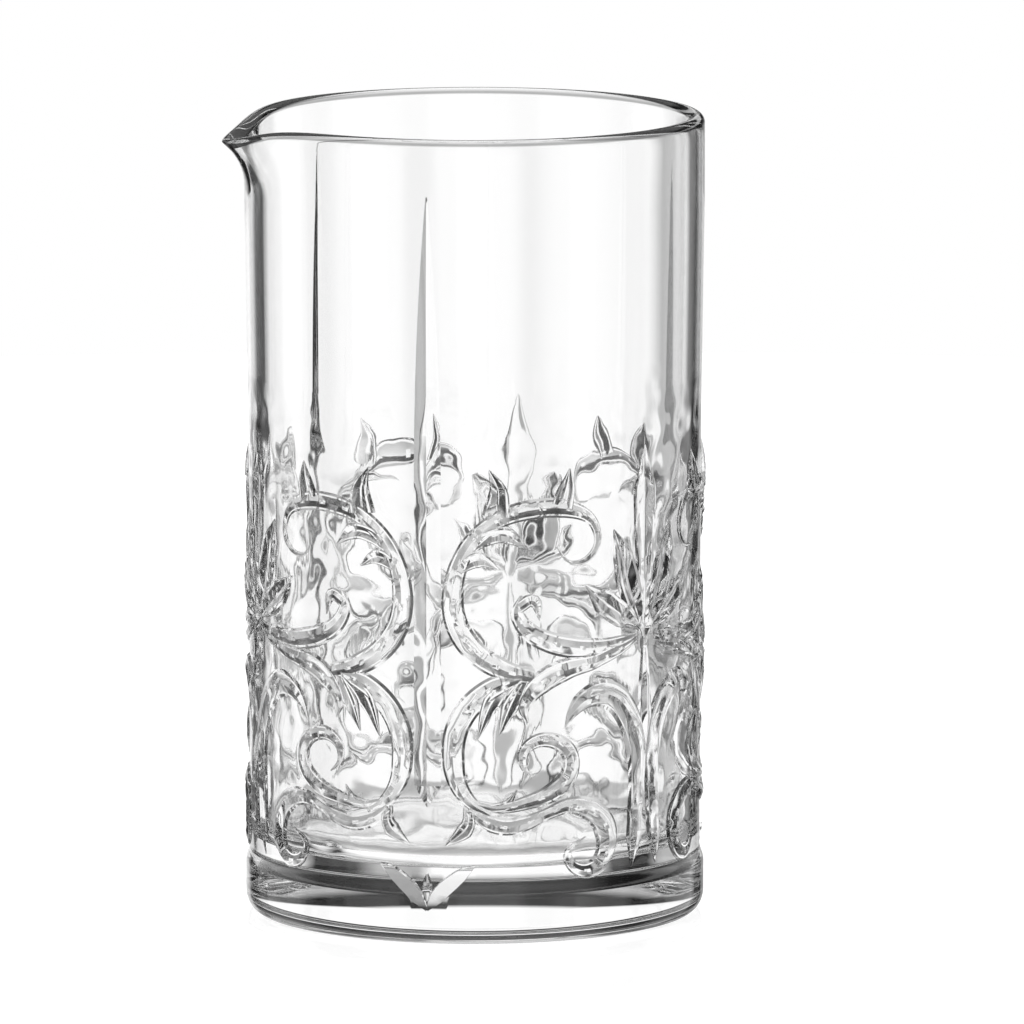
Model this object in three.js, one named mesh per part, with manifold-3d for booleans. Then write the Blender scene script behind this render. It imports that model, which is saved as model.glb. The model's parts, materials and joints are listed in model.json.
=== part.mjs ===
// A cocktail mixing glass: a straight, thick-walled tumbler of clear pressed glass with a small
// pouring lip and a band of foliate scroll relief. Millimetres, +Z up. The origin is the middle of
// the underside, and the lip points along -X.
import * as THREE from "three";
import { mergeVertices } from "three/addons/utils/BufferGeometryUtils.js";
import Module from "manifold-3d";

const wasm = await Module();
wasm.setup();

// Driving sizes of the vessel
const bodyRadius = 45; // plain wall, outside
const height = 157; // table to the crest of the rim
const mouthWall = 3.4; // wall at the rim
const baseWall = 5; // wall just above the floor
const floorThickness = 14; // solid glass under the cavity
const floorRound = 6; // round between floor and wall, inside
const footInset = 2.5; // how far the foot draws in under the wall
const footRise = 4; // height of the round at the foot
const rimBand = 17; // height of the part of the wall that carries the lip

// Driving sizes of the sunk band that the relief stands in
const bandBottom = 9.4; // lower edge of the band above the table
const bandEase = 3.6; // height of the slope at its lower edge
const recessFoot = 0.8; // how far the foot of the ground lies under the plain wall
const recessTop = 0.65; // the same at the palmettes' tips
const plainBand = 61; // plain wall between the palmettes and the crest of the rim

// Driving sizes of the relief
const panels = 3; // each panel has a rib, two mirrored scrolls and a palmette
const ribTurn = THREE.MathUtils.degToRad(7.7); // first rib, counted from +X
const reliefDepth = 0.9; // ridge of a full-width stroke above the ground
const fullWidth = 4.3; // strokes this wide or wider reach the full depth
const seatGap = 0.3; // between a relief piece and the ground behind it
const ribWidth = 5.4;
const ribDrop = 11; // crest of the rim down to the upper point of a rib
const ribUpperPoint = 56; // length of the upper taper
const ribLowerPoint = 5; // length of the lower taper
const ribLowerEnd = 27; // lower point of a rib above the table
const pointWidth = 0.3; // of a stroke that runs out to a point

// Driving sizes of the pouring lip
const lipTurn = Math.PI; // along -X
const lipReach = 5.8; // how far the crest is drawn outwards
const lipDip = 4; // how far the crest is drawn down
const lipSpread = 0.195; // half angle over which the reach falls off, radians
const lipDipSpread = 0.287; // half angle over which the dip falls off, radians
const lipSharpness = 1.4; // 2 is a round trough, 1 a sharp crease
const lipDepth = 16; // how far below the crest the lip starts

// Fineness of the facets
const wallFacets = 72;
const rimFacets = 90;
const arcSteps = 4;
const stationStep = 3.4; // along a relief stroke
const leastStations = 4;

// Heights and radii that follow from the driving sizes
const seamAboveFloor = floorThickness + floorRound; // base meets wall
const seamUnderRim = height - rimBand; // wall meets rim
const ornamentTop = height - plainBand;
const ribTop = height - ribDrop;

// The ornament is drawn flat on a sheet that wraps the glass: across from the rib's middle line
// (0) to the palmette's (halfPanel), up from the table (0) to the palmette's tip (tip).
const sheet = { halfPanel: 47.1, tip: 96 };
const halfPanelTurn = Math.PI / panels;

// Outer wall of the vessel as a polyline of height and radius. The ground of the band widens slowly
// upwards until it meets the plain wall under the rim.
const outerWall = [
  [bandBottom, bodyRadius],
  [bandBottom + bandEase, bodyRadius - recessFoot],
  [ornamentTop, bodyRadius - recessTop],
  [seamUnderRim, bodyRadius],
];

function outerRadius(z) {
  const above = outerWall.findIndex(([level]) => level >= z);
  if (above === 0 || above < 0) return bodyRadius;
  const [lowZ, lowR] = outerWall[above - 1];
  const [highZ, highR] = outerWall[above];
  return lowR + ((highR - lowR) * (z - lowZ)) / (highZ - lowZ);
}

// The cavity narrows a little from the mouth to the floor, as a pressing must.
function innerRadius(z) {
  const rise = (z - seamAboveFloor) / (height - seamAboveFloor);
  return bodyRadius - baseWall + (baseWall - mouthWall) * rise;
}

// A quarter of an ellipse, from the angle given, as profile points
function quarter(r, z, radiusR, radiusZ, fromAngle) {
  const points = [];
  for (let i = 0; i <= arcSteps; i++) {
    const angle = fromAngle + ((Math.PI / 2) * i) / arcSteps;
    points.push([r + radiusR * Math.cos(angle), z + radiusZ * Math.sin(angle)]);
  }
  return points;
}

// Turns a profile of [radius, height] points, listed anticlockwise, about the Z axis.
function turned(profile, facets) {
  const points = profile.map(([r, z]) => new THREE.Vector2(r, z));
  return new THREE.LatheGeometry(points, facets).rotateX(Math.PI / 2);
}

// Base: the thick bottom, with the foot outside and the dished floor inside
function baseGeometry() {
  const footRadius = bodyRadius - footInset;
  const wallFoot = innerRadius(seamAboveFloor);
  const dish = quarter(wallFoot - floorRound, seamAboveFloor, floorRound, floorRound, -Math.PI / 2);
  const profile = [
    [0, 0],
    ...quarter(footRadius, footRise, footInset, footRise, -Math.PI / 2),
    [bodyRadius, bandBottom],
    [bodyRadius - recessFoot, bandBottom + bandEase],
    [outerRadius(seamAboveFloor), seamAboveFloor],
    ...dish.reverse(),
    [0, floorThickness],
  ];
  return turned(profile, wallFacets);
}

// Wall: the tall ring between the base and the rim, with the sunk ground of the relief outside
function wallGeometry() {
  const profile = [
    [innerRadius(seamAboveFloor), seamAboveFloor],
    [outerRadius(seamAboveFloor), seamAboveFloor],
    [bodyRadius - recessTop, ornamentTop],
    [bodyRadius, seamUnderRim],
    [innerRadius(seamUnderRim), seamUnderRim],
    [innerRadius(seamAboveFloor), seamAboveFloor],
  ];
  return turned(profile, wallFacets);
}

// Rim: the top ring, round at its crest, drawn out and down into the pouring lip
function rimGeometry() {
  const crestRadius = mouthWall / 2;
  const crestMiddle = bodyRadius - crestRadius;
  const crestFoot = height - crestRadius;
  const lipStart = height - lipDepth;
  const levels = [0.25, 0.5, 0.75].map((share) => lipStart + share * (crestFoot - lipStart));
  const profile = [
    [innerRadius(seamUnderRim), seamUnderRim],
    [bodyRadius, seamUnderRim],
    [bodyRadius, lipStart],
    ...levels.map((z) => [bodyRadius, z]),
    ...quarter(crestMiddle, crestFoot, crestRadius, crestRadius, 0),
    ...quarter(crestMiddle, crestFoot, crestRadius, crestRadius, Math.PI / 2).slice(1),
    ...levels.map((z) => [innerRadius(z), z]).reverse(),
    [innerRadius(lipStart), lipStart],
    [innerRadius(seamUnderRim), seamUnderRim],
  ];
  const geometry = turned(profile, rimFacets);
  const place = geometry.getAttribute("position");
  for (let i = 0; i < place.count; i++) {
    const x = place.getX(i);
    const y = place.getY(i);
    const z = place.getZ(i);
    const off = Math.abs(Math.atan2(y, x)) - lipTurn;
    const falloff = (spread) => Math.exp(-((Math.abs(off) / spread) ** lipSharpness));
    const rise = THREE.MathUtils.clamp((z - lipStart) / lipDepth, 0, 1) ** 2;
    const radius = Math.hypot(x, y);
    const drawn = (radius + lipReach * falloff(lipSpread) * rise) / radius;
    place.setXYZ(i, x * drawn, y * drawn, z - lipDip * falloff(lipDipSpread) * rise);
  }
  return geometry;
}

// A point of the ornament's sheet on the glass, lifted off the outer wall
function onGlass(across, up, lift, turn) {
  const z = (up / sheet.tip) * ornamentTop;
  const angle = turn + (across / sheet.halfPanel) * halfPanelTurn;
  const radius = outerRadius(z) + lift;
  return [radius * Math.cos(angle), radius * Math.sin(angle), z];
}

// Sweeps a gable section along stations { across, up, alongAcross, alongUp, width }.
// side is 1 as drawn, or -1 for the mirror image.
function gableSolid(stations, side, turn) {
  const rings = stations.map(({ across, up, alongAcross, alongUp, width }) => {
    const half = width / 2;
    const ridge = seatGap + (reliefDepth - seatGap) * Math.min(1, width / fullWidth);
    return [
      onGlass(side * (across - alongUp * half), up + alongAcross * half, seatGap, turn),
      onGlass(side * across, up, ridge, turn),
      onGlass(side * (across + alongUp * half), up - alongAcross * half, seatGap, turn),
    ];
  });
  const corners = rings[0].length;
  const last = (rings.length - 1) * corners;
  const triangles = [];
  const add = (a, b, c) => triangles.push(...(side > 0 ? [a, b, c] : [a, c, b]));
  for (let at = 0; at < last; at += corners) {
    for (let k = 0; k < corners; k++) {
      const next = (k + 1) % corners;
      add(at + k, at + next, at + corners + next);
      add(at + k, at + corners + next, at + corners + k);
    }
  }
  add(0, 2, 1);
  add(last, last + 1, last + 2);
  return new wasm.Manifold(
    new wasm.Mesh({
      numProp: 3,
      vertProperties: new Float32Array(rings.flat(2)),
      triVerts: new Uint32Array(triangles),
    }),
  );
}

// Width at a share of a stroke's length, from widths given at even steps along it
function widthAt(widths, share) {
  const at = share * (widths.length - 1);
  const step = Math.min(Math.floor(at), widths.length - 2);
  return THREE.MathUtils.lerp(widths[step], widths[step + 1], at - step);
}

// A stroke of the ornament: a smooth curve through its points, swelling and thinning by widths
function strokeSolid({ through, widths }, side, turn) {
  const points = through.map(([across, up]) => new THREE.Vector3(across, up, 0));
  const curve = new THREE.CatmullRomCurve3(points);
  const count = Math.max(leastStations, Math.round(curve.getLength() / stationStep));
  const stations = [];
  for (let i = 0; i <= count; i++) {
    const share = i / count;
    const middle = curve.getPointAt(share);
    const along = curve.getTangentAt(share);
    stations.push({
      across: middle.x,
      up: middle.y,
      alongAcross: along.x,
      alongUp: along.y,
      width: widthAt(widths, share),
    });
  }
  return gableSolid(stations, side, turn);
}

function joined(solids) {
  return solids.reduce((whole, solid) => whole.add(solid));
}

function geometryOf(solid) {
  const { vertProperties, triVerts } = solid.getMesh();
  const geometry = new THREE.BufferGeometry();
  geometry.setAttribute("position", new THREE.BufferAttribute(vertProperties, 3));
  geometry.setIndex(new THREE.BufferAttribute(triVerts, 1));
  return geometry;
}

// Scrollwork: the stems and leaves on one side of a rib, across from the rib's middle line
const scrollStrokes = [
  // Upper stem: a C that rises beside the rib and curls in at its top
  {
    through: [
      [20.8, 52.4], [15.5, 53.8], [9.3, 57.6], [5.6, 63.5], [5.3, 71], [8.2, 78.2], [14, 83.3],
      [21, 85.2], [28.3, 84.9], [33.5, 82.3], [34.8, 78], [32.4, 74.9], [28.6, 74.5], [26, 77.4],
    ],
    widths: [3.1, 4.4, 4.7, 4.4, 3.6, 3.4, 3.9, 3.9, 2.1, 1.3, pointWidth],
  },
  // Lower stem: a C that falls beside the rib
  {
    through: [
      [19.5, 52.6], [12.5, 50.3], [8.2, 46.6], [5.7, 42], [5.1, 37], [6, 31.8], [8.6, 28], [12.5, 25.6],
    ],
    widths: [2.1, 4.2, 4.7, 4.7, 4.4, 3.1, 1.6],
  },
  // Volute: the spiral that turns back up inside the lower stem
  {
    through: [
      [9.5, 27.8], [14, 26.9], [19.5, 27.8], [25.3, 29.9], [28.6, 33.2], [28.6, 37], [25.6, 39.6],
      [21.6, 39.8], [19, 37.6], [19.2, 34.6], [21.4, 32.7],
    ],
    widths: [1.6, 2.1, 2.9, 3.9, 3.9, 3.4, 2.9, 2.1, pointWidth],
  },
  // Foot stem: an S that runs along the foot of the band and curls under
  {
    through: [
      [8.2, 26.6], [11.5, 24.3], [15.5, 23.2], [20, 24], [24, 25.5], [28.5, 26.8], [33, 25.8],
      [36.3, 22.7], [37.1, 18.8], [35.6, 15.3], [32.4, 13.8], [29.2, 15], [28.2, 17.4], [32.2, 20.4],
    ],
    widths: [2.1, 3.4, 3.4, 2.3, 3.1, 4.7, 5.5, 4.4, 3.1, 1.8, pointWidth],
  },
  // Hook: from the palmette's foot to a barb inside the upper stem
  {
    through: [
      [44.4, 58.7], [40, 57.9], [35, 57.5], [29.5, 57.8], [24, 59.2], [19.8, 61.6], [17.8, 65],
      [18.6, 68.4],
    ],
    widths: [1.6, 2.6, 3.1, 3.9, 4.4, 4.2, 3.6, 3, 0.6],
  },
  { through: [[18.2, 66.2], [20.9, 67.4], [22.4, 63.4]], widths: [2.4, 2.6, pointWidth] },
  // Drop leaf: under the hook, ending in a hanging point
  {
    through: [
      [44.4, 58.2], [39, 56.3], [33.7, 54.6], [28.2, 53.7], [23.3, 51.7], [20.2, 49], [19.1, 46.4],
      [19.9, 43.4],
    ],
    widths: [1.6, 2.9, 2.9, 3.6, 4.7, 4.7, 3.4, pointWidth],
  },
  // Thorns outside and inside the upper stem
  { through: [[13.6, 84], [13.9, 89], [12.2, 93]], widths: [5.7, 3.9, pointWidth] },
  { through: [[26.8, 85.6], [28, 89.4], [28.6, 92.8]], widths: [4.7, 3.4, pointWidth] },
  { through: [[7.8, 77], [11.6, 79.7], [15.4, 80.3], [19.7, 77.4]], widths: [1.6, 3.1, 3.4, pointWidth] },
  { through: [[6, 73.6], [10.3, 75.6], [14.1, 73.6]], widths: [2.1, 3.4, pointWidth] },
  // Two lobes where the stems meet
  { through: [[18.4, 52.6], [13.2, 48.4], [9.9, 40.5]], widths: [1.8, 3.9, pointWidth] },
  { through: [[19.2, 52], [16.4, 47], [14.2, 41.2]], widths: [1.8, 3.6, pointWidth] },
  // Cusp inside the volute, and the leaf at the foot of the lower stem
  { through: [[12.4, 26.8], [15.8, 27.6], [17.7, 30.4]], widths: [1.8, 2.1, pointWidth] },
  { through: [[8, 27], [8, 23.6], [3.5, 19.4]], widths: [1.8, 3.4, pointWidth] },
];

// Palmette: a fan of five leaves on a knot, across from its own middle line
const palmetteMiddle = [
  { through: [[0, 61], [0, 80], [0, sheet.tip]], widths: [2.6, 4.4, 6, 6.6, pointWidth] },
  { through: [[0, 58.4], [0, 60.5], [0, 63]], widths: [1.4, 5, 3] },
];
const palmetteSide = [
  {
    through: [[1.4, 61.4], [4.4, 68.4], [6.9, 76.6], [8.4, 80.1]],
    widths: [1.4, 5.2, 5.8, 4.4, pointWidth],
  },
  { through: [[1.6, 60.2], [9.5, 65.2], [15, 69.8]], widths: [1, 5, 5.6, pointWidth] },
];

// Arch: the stalk under a palmette, from which two arches bend outwards over two hanging tails
const archMiddle = [{ through: [[0, 56.6], [0, 48], [0, 35]], widths: [1.8, 3.4, 4.2, 1.6] }];
const archSide = [
  {
    through: [
      [3.6, 13.3], [2.9, 20], [2.3, 29], [2.2, 37], [4.7, 43.3], [7.8, 46.9], [11.7, 48.3],
      [15.5, 47.3], [18.1, 44.8], [19.5, 42],
    ],
    widths: [pointWidth, 4.2, 4.4, 4.4, 5.7, 6, 6, 5.5, 3.6, pointWidth],
  },
];

// Chevron: two leaves that spread from one point under a rib, with a bud between them
const chevronMiddle = [{ through: [[0, 8], [0, 11.2], [0, 14]], widths: [1.6, 2.2, 1.8, pointWidth] }];
const chevronSide = [
  { through: [[0, 6.9], [3.2, 10.8], [6.4, 13.6], [9.4, 15.7]], widths: [1.6, 3, 3.2, 2.6, pointWidth] },
];

function mirroredPair(middle, sides, turn) {
  const solids = middle.map((stroke) => strokeSolid(stroke, 1, turn));
  for (const side of [1, -1]) {
    solids.push(...sides.map((stroke) => strokeSolid(stroke, side, turn)));
  }
  return geometryOf(joined(solids));
}

function scrollGeometry(side, turn) {
  return geometryOf(joined(scrollStrokes.map((stroke) => strokeSolid(stroke, side, turn))));
}

// Rib: a long straight gable that follows the outer wall, rising slowly out of its upper point and
// ending short at its lower one
function ribGeometry(turn) {
  const shoulders = [];
  for (let step = 0; step <= arcSteps; step++) {
    const left = 1 - step / arcSteps;
    const width = ribWidth - (ribWidth - pointWidth) * left ** 2;
    shoulders.push([ribTop - (ribUpperPoint * step) / arcSteps, width]);
  }
  shoulders.push([ribLowerEnd + ribLowerPoint, ribWidth]);
  shoulders.push([ribLowerEnd, pointWidth]);
  const stations = shoulders.map(([z, width]) => ({
    across: 0,
    up: (z / ornamentTop) * sheet.tip,
    alongAcross: 0,
    alongUp: -1,
    width,
  }));
  return geometryOf(gableSolid(stations, 1, turn));
}

// Clear, colourless glass, one material for each piece
function piece(name, geometry) {
  geometry.deleteAttribute("normal");
  geometry.deleteAttribute("uv");
  const material = new THREE.MeshStandardMaterial({ color: 0xf4f7f7, roughness: 0.04, metalness: 0 });
  const mesh = new THREE.Mesh(mergeVertices(geometry), material);
  mesh.name = name;
  return mesh;
}

const mixingGlass = new THREE.Group();
mixingGlass.name = "mixing_glass";
mixingGlass.add(piece("base", baseGeometry()));
mixingGlass.add(piece("wall", wallGeometry()));
mixingGlass.add(piece("rim", rimGeometry()));
for (let panel = 0; panel < panels; panel++) {
  const turn = ribTurn + 2 * halfPanelTurn * panel;
  const palmetteTurn = turn + halfPanelTurn;
  const number = panel + 1;
  mixingGlass.add(piece(`rib_${number}`, ribGeometry(turn)));
  mixingGlass.add(piece(`chevron_${number}`, mirroredPair(chevronMiddle, chevronSide, turn)));
  mixingGlass.add(piece(`scrollwork_${number}_right`, scrollGeometry(1, turn)));
  mixingGlass.add(piece(`scrollwork_${number}_left`, scrollGeometry(-1, turn)));
  mixingGlass.add(piece(`palmette_${number}`, mirroredPair(palmetteMiddle, palmetteSide, palmetteTurn)));
  mixingGlass.add(piece(`arch_${number}`, mirroredPair(archMiddle, archSide, palmetteTurn)));
}

export default mixingGlass;
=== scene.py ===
import json
import math
import bmesh
import bpy
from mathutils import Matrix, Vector
from mathutils.geometry import interpolate_bezier

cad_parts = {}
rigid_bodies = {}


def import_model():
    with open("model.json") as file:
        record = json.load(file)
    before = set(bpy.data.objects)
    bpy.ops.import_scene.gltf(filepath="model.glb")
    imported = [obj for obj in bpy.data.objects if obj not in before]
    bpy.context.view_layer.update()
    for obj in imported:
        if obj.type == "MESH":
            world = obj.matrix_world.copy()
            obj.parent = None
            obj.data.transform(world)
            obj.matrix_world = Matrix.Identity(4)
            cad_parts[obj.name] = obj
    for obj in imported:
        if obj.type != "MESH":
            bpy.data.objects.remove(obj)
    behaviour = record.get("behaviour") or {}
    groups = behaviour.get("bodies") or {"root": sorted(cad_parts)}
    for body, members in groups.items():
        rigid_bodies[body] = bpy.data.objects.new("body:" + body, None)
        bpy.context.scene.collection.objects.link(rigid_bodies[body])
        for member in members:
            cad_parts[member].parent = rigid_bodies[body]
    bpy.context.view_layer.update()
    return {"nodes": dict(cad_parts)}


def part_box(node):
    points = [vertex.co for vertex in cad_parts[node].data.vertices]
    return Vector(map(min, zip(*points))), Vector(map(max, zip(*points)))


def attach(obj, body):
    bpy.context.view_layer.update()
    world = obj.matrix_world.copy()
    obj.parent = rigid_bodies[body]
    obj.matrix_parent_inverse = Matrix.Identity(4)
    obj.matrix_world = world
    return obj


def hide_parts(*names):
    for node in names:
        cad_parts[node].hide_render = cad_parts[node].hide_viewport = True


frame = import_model()

# Vessel. The real glass is one pressing of clear, colourless glass: a straight thick wall on a heavy
# base, fire-polished after the mould opens. Its lip is drawn out of the rim while the glass is soft.
MM = 0.001
wall_low, wall_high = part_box("wall")
rim_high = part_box("rim")[1]
body_radius = wall_high[0]
rim_crest = rim_high[2]
wall_foot = wall_low[2]
mouth_wall = 3.4 * MM
base_wall = 5.0 * MM
floor_round = 6.0 * MM
floor_top = wall_foot - floor_round
foot_inset = 2.5 * MM
foot_rise = 4.0 * MM
underside_ring = body_radius - 4 * foot_inset
band_bottom = 9.4 * MM
band_ease = 3.6 * MM
ground_foot = band_bottom + band_ease
ornament_top = 96.0 * MM
ground_top = 140.0 * MM
recess_foot = 0.8 * MM
recess_top = 0.65 * MM
lip_depth = 16.0 * MM
lip_start = rim_crest - lip_depth
crest_radius = mouth_wall / 2
crest_middle = body_radius - crest_radius
crest_foot = rim_crest - crest_radius
spin_steps = 288
foot_steps = 20
crest_steps = 14
dish_steps = 18
foot_rows = 2
ledge_rows = 14
ground_rows = 12
fade_rows = 6
cavity_rows = 14
lip_rows = 10
weld = 1e-6


def outer_radius(z):
    """Outer wall: plain at the foot and under the rim, sunk a little behind the relief."""
    if z <= ground_foot:
        rise = max((z - band_bottom) / band_ease, 0.0)
        return body_radius - recess_foot * rise * rise * (3 - 2 * rise)
    if z <= ornament_top:
        share = (z - ground_foot) / (ornament_top - ground_foot)
        return body_radius - recess_foot + (recess_foot - recess_top) * share
    share = min((z - ornament_top) / (ground_top - ornament_top), 1.0)
    return body_radius - recess_top * (1 - share)


def inner_radius(z):
    """Cavity wall, a little narrower towards the floor so that the plunger could leave it."""
    rise = (z - wall_foot) / (rim_crest - wall_foot)
    return body_radius - base_wall + (base_wall - mouth_wall) * rise


def quarter(r, z, radius_r, radius_z, start, steps):
    """A quarter of an ellipse as (radius, height) points."""
    angles = [start + math.pi / 2 * step / steps for step in range(steps + 1)]
    return [(r + radius_r * math.cos(angle), z + radius_z * math.sin(angle)) for angle in angles]


def levels(low, high, count):
    """Evenly spaced heights, without the first and last."""
    return [low + (high - low) * step / count for step in range(1, count)]


cavity_foot = inner_radius(wall_foot)
floor_ring = cavity_foot - 2 * floor_round
outer_levels = levels(foot_rise, band_bottom, foot_rows)
outer_levels += levels(band_bottom, ground_foot, ledge_rows)
outer_levels += [ground_foot] + levels(ground_foot, ornament_top, ground_rows) + [ornament_top]
outer_levels += levels(ornament_top, ground_top, fade_rows) + [ground_top, lip_start]
outer_levels += levels(lip_start, crest_foot, lip_rows)
inner_levels = levels(wall_foot, lip_start, cavity_rows) + [lip_start]
inner_levels += levels(lip_start, crest_foot, lip_rows)

profile = [(0.0, 0.0), (underside_ring, 0.0)]
profile += quarter(body_radius - foot_inset, foot_rise, foot_inset, foot_rise, -math.pi / 2, foot_steps)
profile += [(outer_radius(z), z) for z in outer_levels]
profile += quarter(crest_middle, crest_foot, crest_radius, crest_radius, 0.0, crest_steps)
profile += quarter(crest_middle, crest_foot, crest_radius, crest_radius, math.pi / 2, crest_steps)[1:]
profile += [(inner_radius(z), z) for z in reversed(inner_levels)]
dish = quarter(cavity_foot - floor_round, wall_foot, floor_round, floor_round, -math.pi / 2, dish_steps)
profile += reversed(dish)
profile += [(floor_ring, floor_top), (0.0, floor_top)]

vessel = bmesh.new()
outline = [vessel.verts.new((r, 0.0, z)) for r, z in profile]
edges = [vessel.edges.new(pair) for pair in zip(outline, outline[1:])]
bmesh.ops.spin(
    vessel, geom=outline + edges, cent=(0, 0, 0), axis=(0, 0, 1), dvec=(0, 0, 0),
    angle=2 * math.pi, steps=spin_steps, use_merge=True, use_duplicate=False,
)
bmesh.ops.remove_doubles(vessel, verts=vessel.verts, dist=weld)
bmesh.ops.recalc_face_normals(vessel, faces=vessel.faces)

lip_reach = 5.8 * MM
lip_dip = 4.0 * MM
lip_spread = 0.195
lip_dip_spread = 0.287
lip_sharpness = 1.4
for vert in vessel.verts:
    x, y, z = vert.co
    radius = math.hypot(x, y)
    rise = min(max((z - lip_start) / lip_depth, 0.0), 1.0) ** 2
    if radius > 0 and rise > 0:
        off_lip = math.pi - abs(math.atan2(y, x))
        reach = lip_reach * math.exp(-(off_lip / lip_spread) ** lip_sharpness) * rise
        dip = lip_dip * math.exp(-(off_lip / lip_dip_spread) ** lip_sharpness) * rise
        stretch = 1 + reach / radius
        vert.co = (x * stretch, y * stretch, z - dip)

vessel_mesh = bpy.data.meshes.new("mixing_glass")
vessel.to_mesh(vessel_mesh)
vessel.free()
glass = bpy.data.objects.new("mixing_glass", vessel_mesh)
bpy.context.scene.collection.objects.link(glass)

# Ribs. Three long straight ridges with a sharp crest, pressed from the same gob of glass as the wall,
# run from a point under the rim down towards the foot. They and all the relief are drawn flat, in
# millimetres across from a rib or palmette and up from the table, and then swept onto the wall.
repeats = 3
half_repeat = 47.1
half_turn = math.pi / repeats
rib_turn = math.radians(7.7)
rib_turns = [rib_turn + 2 * half_turn * number for number in range(repeats)]
alone = (1,)
mirrored = (1, -1)
point_width = 0.3
embed = 1.2
station_step = 0.7
fewest_stations = 8
curve_steps = 24
nick_rhythm = 2.4
nick_rarity = 0.9
nick_least_width = 2.4
ridges = bpy.data.collections.new("ridges")


def on_glass(across, up, lift, turn, seat):
    """A point of the flat drawing, in millimetres, on the outer wall."""
    angle = turn + across / half_repeat * half_turn
    radius = seat(up * MM) + lift * MM
    return Vector((radius * math.cos(angle), radius * math.sin(angle), up * MM))


def smooth_path(through):
    """A smooth curve through given points, as close steps of (across, up)."""
    knots = [Vector(point) for point in through]
    ahead = [there - here for here, there in zip(knots, knots[1:])]
    along = [before.normalized() + after.normalized() for before, after in zip(ahead, ahead[1:])]
    along = [ahead[0]] + along + [ahead[-1]]
    steps = [knots[0]]
    for number, span in enumerate(ahead):
        here, there = knots[number], knots[number + 1]
        handle = span.length / 3
        leave = here + along[number].normalized() * handle
        arrive = there - along[number + 1].normalized() * handle
        steps += interpolate_bezier(here, leave, arrive, there, curve_steps)[1:]
    return steps


def stations_along(through, widths):
    """Even stations on the path: middle, direction and width."""
    steps = smooth_path(through)
    run = [0.0]
    for here, there in zip(steps, steps[1:]):
        run.append(run[-1] + (there - here).length)
    count = max(fewest_stations, round(run[-1] / station_step))
    stations = []
    span = 0
    for number in range(count + 1):
        at = run[-1] * number / count
        while span < len(steps) - 2 and run[span + 1] < at:
            span += 1
        share = (at - run[span]) / (run[span + 1] - run[span])
        middle = steps[span].lerp(steps[span + 1], share)
        along = (steps[span + 1] - steps[span]).normalized()
        place = number / count * (len(widths) - 1)
        low = min(int(place), len(widths) - 2)
        width = widths[low] + (widths[low + 1] - widths[low]) * (place - low)
        stations.append((middle, along, width))
    return stations


def ridge(stations, side, turn, depth_at, seat, section, nicked):
    """Sweeps a section along the stations, from one end face extruded again and again."""
    def ring(number):
        middle, along, width = stations[number]
        half = width / 2
        depth = depth_at(width)
        has_nick = width > nick_least_width and math.sin(nick_rhythm * number) > nick_rarity
        top = [(aside, lift * depth) for aside, lift in (nicked if has_nick else section)]
        corners = []
        for aside, lift in [(-1.0, -embed)] + top + [(1.0, -embed)]:
            across = side * (middle.x + along.y * half * aside)
            up = middle.y - along.x * half * aside
            corners.append(on_glass(across, up, lift, turn, seat))
        return corners

    swept = bmesh.new()
    start = swept.faces.new([swept.verts.new(corner) for corner in ring(0)])
    face = start
    for number in range(1, len(stations)):
        made = bmesh.ops.extrude_face_region(swept, geom=[face])
        if face is not start:
            swept.faces.remove(face)
        face = next(item for item in made["geom"] if isinstance(item, bmesh.types.BMFace))
        for vert, corner in zip(face.verts, ring(number)):
            vert.co = corner
    bmesh.ops.recalc_face_normals(swept, faces=swept.faces)
    mesh = bpy.data.meshes.new("ridge")
    swept.to_mesh(mesh)
    swept.free()
    return bpy.data.objects.new("ridge", mesh)


def press(strokes, turns, sides, depth_at, seat, section, nicked=None):
    """Makes a ridge of each stroke, given as (points, widths), at each turn and on each side."""
    for turn in turns:
        for through, widths in strokes:
            stations = stations_along(through, widths)
            for side in sides:
                made = ridge(stations, side, turn, depth_at, seat, section, nicked or section)
                ridges.objects.link(made)


rib_top = 146
rib_foot = 27
rib_width = 5.4
rib_height = 0.95
rib_taper = 0.8
rib_rise_steps = 14
rib_straight_steps = 15
gable = [(-1.0, 0.0), (0.0, 1.0), (1.0, 0.0)]
rib_widths = []
for step in range(rib_rise_steps):
    narrowed = (1 - step / rib_rise_steps) ** 2
    rib_widths.append(point_width + (rib_width - point_width) * (1 - narrowed))
rib_widths += [rib_width] * rib_straight_steps + [point_width]
rib_strokes = [([(0, rib_top), (0, rib_foot)], rib_widths)]


def rib_depth(width):
    """Height of a rib, which keeps most of its height where it narrows towards its point."""
    return rib_height * (width / rib_width) ** rib_taper


press(rib_strokes, rib_turns, alone, rib_depth, outer_radius, gable)

# Chevrons. Under each rib two bevelled leaves spread from a point near the foot, with a bud between
# them. They stand on the plain wall of the base and are pressed with it.
relief_depth = 0.92
full_width = 4.3
stem_flank = [(1.0, 0.0), (0.78, 0.52), (0.6, 0.54), (0.2, 0.86)]
stem = [(-aside, lift) for aside, lift in stem_flank] + [(0.0, 1.0)] + stem_flank[::-1]
bevel = [(-1.0, 0.0), (-0.88, 0.9), (0.9, 0.05), (1.0, -0.9)]
chevron_buds = [([(0, 8.8), (0, 11.2), (0, 14)], [0.6, 2.2, 1.8, point_width])]
chevron_leaves = [([(0, 6.9), (3.2, 10.8), (6.4, 13.6), (9.4, 15.7)], [0.6, 3, 3.2, 2.6, point_width])]


def plain_radius(z):
    """The plain wall without the sunk band."""
    return body_radius


def stroke_depth(width):
    """Height of a stem or leaf: broad strokes have the full depth, and thin ones stay low."""
    return relief_depth * min(1.0, width / full_width)


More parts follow.
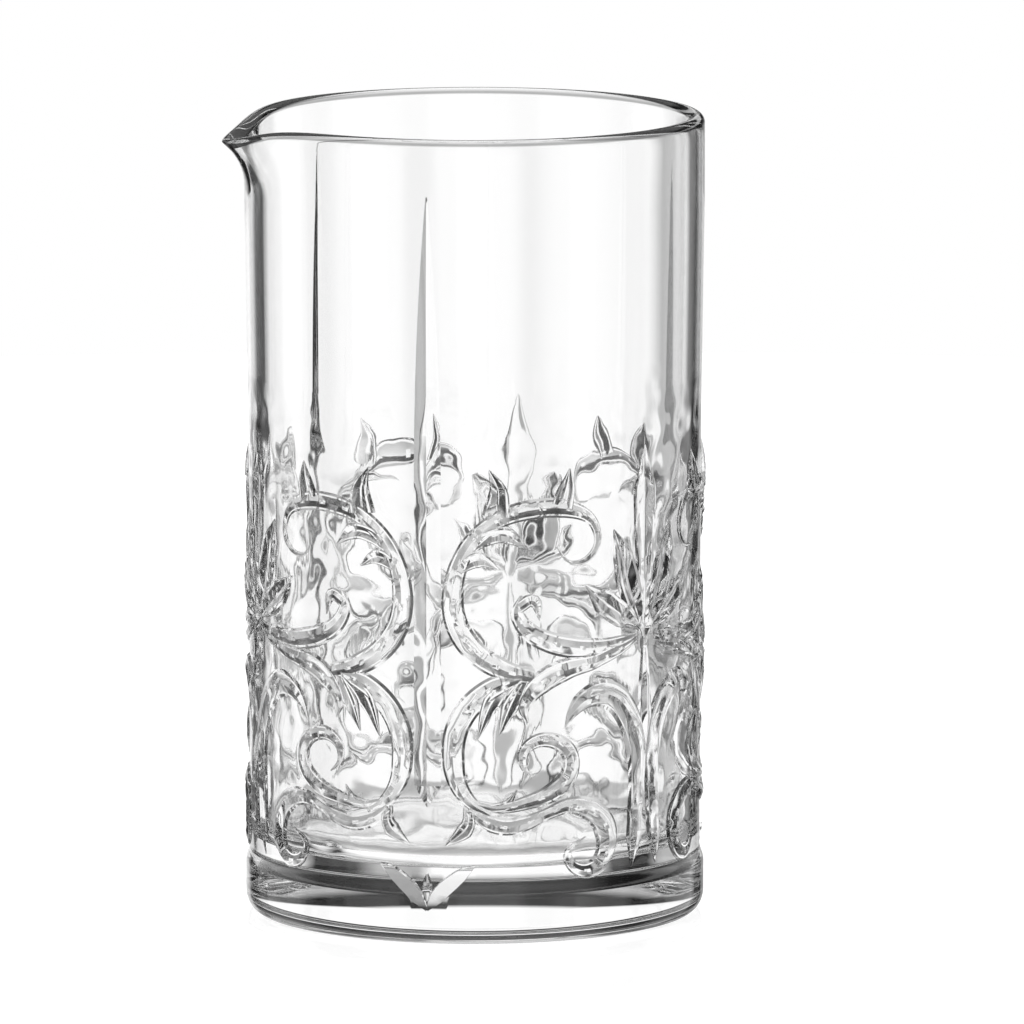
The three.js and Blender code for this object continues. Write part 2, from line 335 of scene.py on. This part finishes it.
press(chevron_buds, rib_turns, alone, stroke_depth, plain_radius, stem)
press(chevron_leaves, rib_turns, mirrored, stroke_depth, plain_radius, bevel)

# Scrollwork. Curling stems mirror each other on both sides of every rib, with hollow thorns and lobes
# growing out of them. A stem has a sharp crest between two narrow ledges, with small nicks along it.
nicked_stem = [(-aside, lift) for aside, lift in stem_flank] + [(0.0, 0.66)] + stem_flank[::-1]
leaf_flank = [(1.0, 0.0), (0.93, 0.75), (0.82, 1.0), (0.62, 1.0), (0.1, 0.05)]
leaf = [(-aside, lift) for aside, lift in leaf_flank] + leaf_flank[::-1]
scroll_stems = [
    # Upper stem, rising beside the rib and curling in at its top
    ([(20.8, 52.4), (15.5, 53.8), (9.3, 57.6), (5.6, 63.5), (5.3, 71), (8.2, 78.2), (14, 83.3),
      (21, 85.2), (28.3, 84.9), (33.5, 82.3), (34.8, 78), (32.4, 74.9), (28.6, 74.5), (26, 77.4)],
     [3.1, 4.4, 4.7, 4.4, 3.6, 3.4, 3.9, 3.9, 2.1, 1.3, point_width]),
    # Lower stem, falling beside the rib
    ([(19.5, 52.6), (12.5, 50.3), (8.2, 46.6), (5.7, 42), (5.1, 37), (6, 31.8), (8.6, 28), (12.5, 25.6)],
     [2.1, 4.2, 4.7, 4.7, 4.4, 3.1, 1.6]),
    # Volute inside the lower stem
    ([(9.5, 27.8), (14, 26.9), (19.5, 27.8), (25.3, 29.9), (28.6, 33.2), (28.6, 37), (25.6, 39.6),
      (21.6, 39.8), (19, 37.6), (19.2, 34.6), (21.4, 32.7)],
     [1.6, 2.1, 2.9, 3.9, 3.9, 3.4, 2.9, 2.1, point_width]),
    # Foot stem, an S that curls under
    ([(8.2, 26.6), (11.5, 24.3), (15.5, 23.2), (20, 24), (24, 25.5), (28.5, 26.8), (33, 25.8),
      (36.3, 22.7), (37.1, 18.8), (35.6, 15.3), (32.4, 13.8), (29.2, 15), (28.2, 17.4), (32.2, 20.4)],
     [2.1, 3.4, 3.4, 2.3, 3.1, 4.7, 5.5, 4.4, 3.1, 1.8, point_width]),
    # Hook from the palmette's foot, and its barb
    ([(44.4, 58.7), (40, 57.9), (35, 57.5), (29.5, 57.8), (24, 59.2), (19.8, 61.6), (17.8, 65),
      (18.6, 68.4)],
     [1.6, 2.6, 3.1, 3.9, 4.4, 4.2, 3.6, 3.0, 0.6]),
    ([(18.2, 66.2), (20.9, 67.4), (22.4, 63.4)], [2.4, 2.6, point_width]),
    # Drop leaf under the hook
    ([(44.4, 58.2), (39, 56.3), (33.7, 54.6), (28.2, 53.7), (23.3, 51.7), (20.2, 49), (19.1, 46.4),
      (19.9, 43.4)],
     [1.6, 2.9, 2.9, 3.6, 4.7, 4.7, 3.4, point_width]),
]
scroll_leaves = [
    # Thorns outside and inside the upper stem
    ([(13.6, 84), (13.9, 89), (12.2, 93)], [5.7, 3.9, point_width]),
    ([(26.8, 85.6), (28, 89.4), (28.6, 92.8)], [4.7, 3.4, point_width]),
    ([(7.8, 77), (11.6, 79.7), (15.4, 80.3), (19.7, 77.4)], [1.6, 3.1, 3.4, point_width]),
    ([(6, 73.6), (10.3, 75.6), (14.1, 73.6)], [2.1, 3.4, point_width]),
    # Lobes where the stems meet
    ([(18.4, 52.6), (13.2, 48.4), (9.9, 40.5)], [1.8, 3.9, point_width]),
    ([(19.2, 52), (16.4, 47), (14.2, 41.2)], [1.8, 3.6, point_width]),
    # Cusp inside the volute, and the leaf at the foot
    ([(12.4, 26.8), (15.8, 27.6), (17.7, 30.4)], [1.8, 2.1, point_width]),
    ([(8, 27), (8, 23.6), (3.5, 19.4)], [1.8, 3.4, point_width]),
]
press(scroll_stems, rib_turns, mirrored, stroke_depth, outer_radius, stem, nicked_stem)
press(scroll_leaves, rib_turns, mirrored, stroke_depth, outer_radius, leaf)

# Palmettes. A fan of five hollow leaves stands between two scrolls and ties their hooks together. Its
# long middle leaf and the knot at its foot are lower than the rest. It is pressed with the wall too.
palmette_turns = [turn + half_turn for turn in rib_turns]
middle_leaf_share = 0.45
palmette_middle = [
    # Long leaf, and the knot at its foot
    ([(0, 61), (0, 80), (0, 96)], [2.6, 4.4, 6, 6.6, point_width]),
    ([(0, 58.4), (0, 60.5), (0, 63)], [1.4, 5, 3]),
]
palmette_sides = [
    # Upright leaf, and the one that leans out
    ([(1.4, 61.4), (4.4, 68.4), (6.9, 76.6), (8.4, 80.1)], [1.4, 5.2, 5.8, 4.4, point_width]),
    ([(1.6, 60.2), (9.5, 65.2), (15, 69.8)], [1, 5, 5.6, point_width]),
]


def middle_leaf_depth(width):
    """Height of the palmette's middle leaf and knot."""
    return middle_leaf_share * stroke_depth(width)


press(palmette_middle, palmette_turns, alone, middle_leaf_depth, outer_radius, leaf)
press(palmette_sides, palmette_turns, mirrored, stroke_depth, outer_radius, leaf)

# Arches. Under each palmette a stalk hangs between two arches, whose outer ends curl down as tails.
# They have the section of the scroll stems and are pressed with the wall.
arch_stalk = [([(0, 56.6), (0, 48), (0, 35)], [1.8, 3.4, 4.2, 1.6])]
arch_sides = [
    ([(3.6, 13.3), (2.9, 20), (2.3, 29), (2.2, 37), (4.7, 43.3), (7.8, 46.9), (11.7, 48.3),
      (15.5, 47.3), (18.1, 44.8), (19.5, 42)],
     [0.4, 4.2, 4.4, 4.4, 5.7, 6, 6, 5.5, 3.6, point_width]),
]
press(arch_stalk, palmette_turns, alone, stroke_depth, outer_radius, stem)
press(arch_sides, palmette_turns, mirrored, stroke_depth, outer_radius, stem)

# Clear glass. Vessel and relief are one body of clear soda-lime glass on the real object, so the ridges
# are joined to the vessel here. The inner wall, chilled by the plunger, is slightly wavy and satin where
# the relief was pressed against it, and the rest is fire-polished.
join = glass.modifiers.new("join_relief", "BOOLEAN")
join.operation = "UNION"
join.operand_type = "COLLECTION"
join.collection = ridges
join.solver = "MANIFOLD"
depsgraph = bpy.context.evaluated_depsgraph_get()
glass_mesh = bpy.data.meshes.new_from_object(glass.evaluated_get(depsgraph))
glass.modifiers.clear()
glass.data = glass_mesh
for piece in list(ridges.objects):
    bpy.data.objects.remove(piece)
bpy.data.collections.remove(ridges)

crease = math.radians(15)
rib_crease = math.radians(7)
beside_rib = 0.1
past_rib = 1
rib_reach = (rib_width / 2 + beside_rib) * MM
rib_span = ((rib_foot - past_rib) * MM, (rib_top + past_rib) * MM)
finished = bmesh.new()
finished.from_mesh(glass_mesh)
for face in finished.faces:
    face.smooth = True
for edge in finished.edges:
    middle = (edge.verts[0].co + edge.verts[1].co) / 2
    off_rib = math.remainder(math.atan2(middle.y, middle.x) - rib_turn, 2 * half_turn) * body_radius
    on_rib = abs(off_rib) < rib_reach and rib_span[0] < middle.z < rib_span[1]
    edge.smooth = edge.calc_face_angle(0.0) < (rib_crease if on_rib else crease)
finished.to_mesh(glass_mesh)
finished.free()

clear_glass = bpy.data.materials.new("clear_glass")
clear_glass.use_nodes = True
gloss = clear_glass.node_tree
shader = gloss.nodes["Principled BSDF"]
shader.inputs["Base Color"].default_value = (1, 1, 1, 1)
shader.inputs["IOR"].default_value = 1.5
shader.inputs["Transmission Weight"].default_value = 0.993


def math_node(tree, operation, *values):
    """A Math node whose inputs are numbers or the outputs of other nodes."""
    node = tree.nodes.new("ShaderNodeMath")
    node.operation = operation
    for socket, value in zip(node.inputs, values):
        if isinstance(value, (int, float)):
            socket.default_value = value
        else:
            tree.links.new(value, socket)
    return node.outputs[0]


def glass_fade(value, start, end, at_start, at_end):
    """A level that goes from at_start to at_end while a value goes from start to end."""
    node = gloss.nodes.new("ShaderNodeMapRange")
    for name, level in zip(("From Min", "From Max", "To Min", "To Max"), (start, end, at_start, at_end)):
        node.inputs[name].default_value = level
    gloss.links.new(value, node.inputs["Value"])
    return node.outputs[0]


def glass_noise(scale, detail):
    """Soft random waves, as close together as the scale says."""
    node = gloss.nodes.new("ShaderNodeTexNoise")
    node.inputs["Scale"].default_value = scale
    node.inputs["Detail"].default_value = detail
    gloss.links.new(glass_place, node.inputs["Vector"])
    return node.outputs["Fac"]


glass_place = gloss.nodes.new("ShaderNodeTexCoord").outputs["Object"]
place_parts = gloss.nodes.new("ShaderNodeSeparateXYZ")
gloss.links.new(glass_place, place_parts.inputs[0])
place_x, place_y, place_z = place_parts.outputs
squared_x = math_node(gloss, "MULTIPLY", place_x, place_x)
squared_y = math_node(gloss, "MULTIPLY", place_y, place_y)
from_axis = math_node(gloss, "SQRT", math_node(gloss, "ADD", squared_x, squared_y))
inner_skin = (42.0 * MM, 42.8 * MM)
chilled_top = (86.0 * MM, 106.0 * MM)
chilled_foot = (14.5 * MM, 17.0 * MM)
inside = glass_fade(from_axis, *inner_skin, 1, 0)
low_down = glass_fade(place_z, *chilled_top, 1, 0)
above_floor = glass_fade(place_z, *chilled_foot, 0, 1)
chilled = math_node(gloss, "MULTIPLY", math_node(gloss, "MULTIPLY", inside, low_down), above_floor)

wave_scale = 150
wave_detail = 0.5
wave_depth = 0.6 * MM
waves = math_node(gloss, "MULTIPLY", glass_noise(wave_scale, wave_detail), chilled)
bump = gloss.nodes.new("ShaderNodeBump")
bump.inputs["Strength"].default_value = 1.0
bump.inputs["Distance"].default_value = wave_depth
gloss.links.new(waves, bump.inputs["Height"])
gloss.links.new(bump.outputs["Normal"], shader.inputs["Normal"])

smear_scale = 60
smear_detail = 2
smear_roughness = 0.015
chilled_roughness = 0.05
smears = glass_fade(glass_noise(smear_scale, smear_detail), 0, 1, 0, smear_roughness)
polish = math_node(gloss, "MULTIPLY_ADD", chilled, chilled_roughness, smears)
gloss.links.new(polish, shader.inputs["Roughness"])
glass_mesh.materials.clear()
glass_mesh.materials.append(clear_glass)
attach(glass, "root")
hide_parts(*frame["nodes"])

# Floor. A plain pale sheet, so bright that it shows as white with hardly a shadow on it. The glass
# itself sees the studio's own table in its place.
floor_radius = 0.8
floor_sides = 64
floor_mesh = bpy.data.meshes.new("floor")
floor_disc = bmesh.new()
bmesh.ops.create_circle(floor_disc, cap_ends=True, segments=floor_sides, radius=floor_radius)
floor_disc.to_mesh(floor_mesh)
floor_disc.free()
floor = bpy.data.objects.new("floor", floor_mesh)
bpy.context.scene.collection.objects.link(floor)
floor.visible_transmission = False
floor.visible_glossy = False
floor_sheet = bpy.data.materials.new("floor_sheet")
floor_sheet.use_nodes = True
sheet_shader = floor_sheet.node_tree.nodes["Principled BSDF"]
sheet_shader.inputs["Base Color"].default_value = (0.8, 0.8, 0.8, 1)
sheet_shader.inputs["Roughness"].default_value = 0.06
sheet_shader.inputs["Specular IOR Level"].default_value = 0.2
sheet_shader.inputs["Emission Color"].default_value = (1, 1, 1, 1)
sheet_shader.inputs["Emission Strength"].default_value = 0.75
floor_mesh.materials.append(floor_sheet)

# Studio. White screens stand all round with dark gaps between them, over a pale table and under a bright
# ring and a grey ceiling, so that the edges of the clear glass draw themselves as dark lines. What the
# camera sees directly is plain white. Each list holds (degrees, brightness) stops.
camera_azimuth = math.radians(-10.5)
behind = camera_azimuth + math.pi / 2
screen_count = 6
screen_half = 180 / screen_count
screen_strength = 1.06
screen_stops = [
    (-30, 0.02), (-27, 0.02), (-20, 1), (7, 1), (9.5, 0.42), (17, 0.42), (22, 0.02), (30, 0.02),
]
height_stops = [
    (-90, 0.8), (-40, 0.8), (-27, 0.45), (-21, 0.45), (-16, 1), (-7, 1), (-2, 0.5), (1, 0.04), (90, 0.04),
]
table_stops = [(-50, 1), (-34, 0)]
ring_stops = [(6, 0), (8, 1), (12.3, 1), (14, 0)]
ceiling_stops = [(20, 0), (26, 0.45), (90, 0.55)]
studio = bpy.data.worlds.new("studio")
bpy.context.scene.world = studio
studio.use_nodes = True
sky = studio.node_tree


def sky_ramp(degrees, stops):
    """Brightness that follows an angle, through (degrees, brightness) stops."""
    low, high = stops[0][0], stops[-1][0]
    node = sky.nodes.new("ShaderNodeValToRGB")
    for stop in stops[2:]:
        node.color_ramp.elements.new(1.0)
    for element, (angle, level) in zip(node.color_ramp.elements, stops):
        element.position = (angle - low) / (high - low)
        element.color = (level, level, level, 1)
    share = math_node(sky, "DIVIDE", math_node(sky, "SUBTRACT", degrees, low), high - low)
    sky.links.new(share, node.inputs[0])
    return node.outputs[0]


direction = sky.nodes.new("ShaderNodeTexCoord").outputs["Generated"]
direction_parts = sky.nodes.new("ShaderNodeSeparateXYZ")
sky.links.new(direction, direction_parts.inputs[0])
heading = math_node(sky, "ARCTAN2", direction_parts.outputs["Y"], direction_parts.outputs["X"])
to_right = math_node(sky, "DEGREES", math_node(sky, "SUBTRACT", behind, heading))
across_screen = math_node(sky, "WRAP", to_right, screen_half, -screen_half)
height = math_node(sky, "DEGREES", math_node(sky, "ARCSINE", direction_parts.outputs["Z"]))
light = math_node(sky, "MULTIPLY", sky_ramp(across_screen, screen_stops), sky_ramp(height, height_stops))
for stops in (table_stops, ring_stops, ceiling_stops):
    light = math_node(sky, "MAXIMUM", light, sky_ramp(height, stops))
light = math_node(sky, "MULTIPLY", light, screen_strength)
seen_directly = sky.nodes.new("ShaderNodeLightPath").outputs["Is Camera Ray"]
light = math_node(sky, "MULTIPLY", light, math_node(sky, "SUBTRACT", 1, seen_directly))
background = sky.nodes["Background"]
background.inputs["Color"].default_value = (1, 1, 1, 1)
sky.links.new(math_node(sky, "ADD", light, seen_directly), background.inputs["Strength"])

# Camera. It stands at the photograph's angle, well back and with a long lens, and the light may pass
# through enough walls of glass to come out again.
distance = 2.7661
camera_height = 0.4905
aim_height = 0.0783
aim_right = 0.0073
sensor_width = 36.0
picture_width = 1024
focal_pixels = 14270
right = Vector((math.cos(camera_azimuth), math.sin(camera_azimuth), 0))
away = Vector((-math.sin(camera_azimuth), math.cos(camera_azimuth), 0))
up = Vector((0, 0, 1))
aim = right * aim_right + up * aim_height
eye = right * aim_right - away * distance + up * camera_height
camera_data = bpy.data.cameras.new("camera")
camera_data.sensor_width = sensor_width
camera_data.lens = focal_pixels / picture_width * sensor_width
camera = bpy.data.objects.new("camera", camera_data)
camera.location = eye
camera.rotation_euler = (aim - eye).to_track_quat("-Z", "Y").to_euler()
bpy.context.scene.collection.objects.link(camera)
bpy.context.scene.camera = camera
bpy.context.scene.view_settings.view_transform = "Standard"
bpy.context.scene.cycles.max_bounces = 16
bpy.context.scene.cycles.transmission_bounces = 16
bpy.context.scene.cycles.glossy_bounces = 8
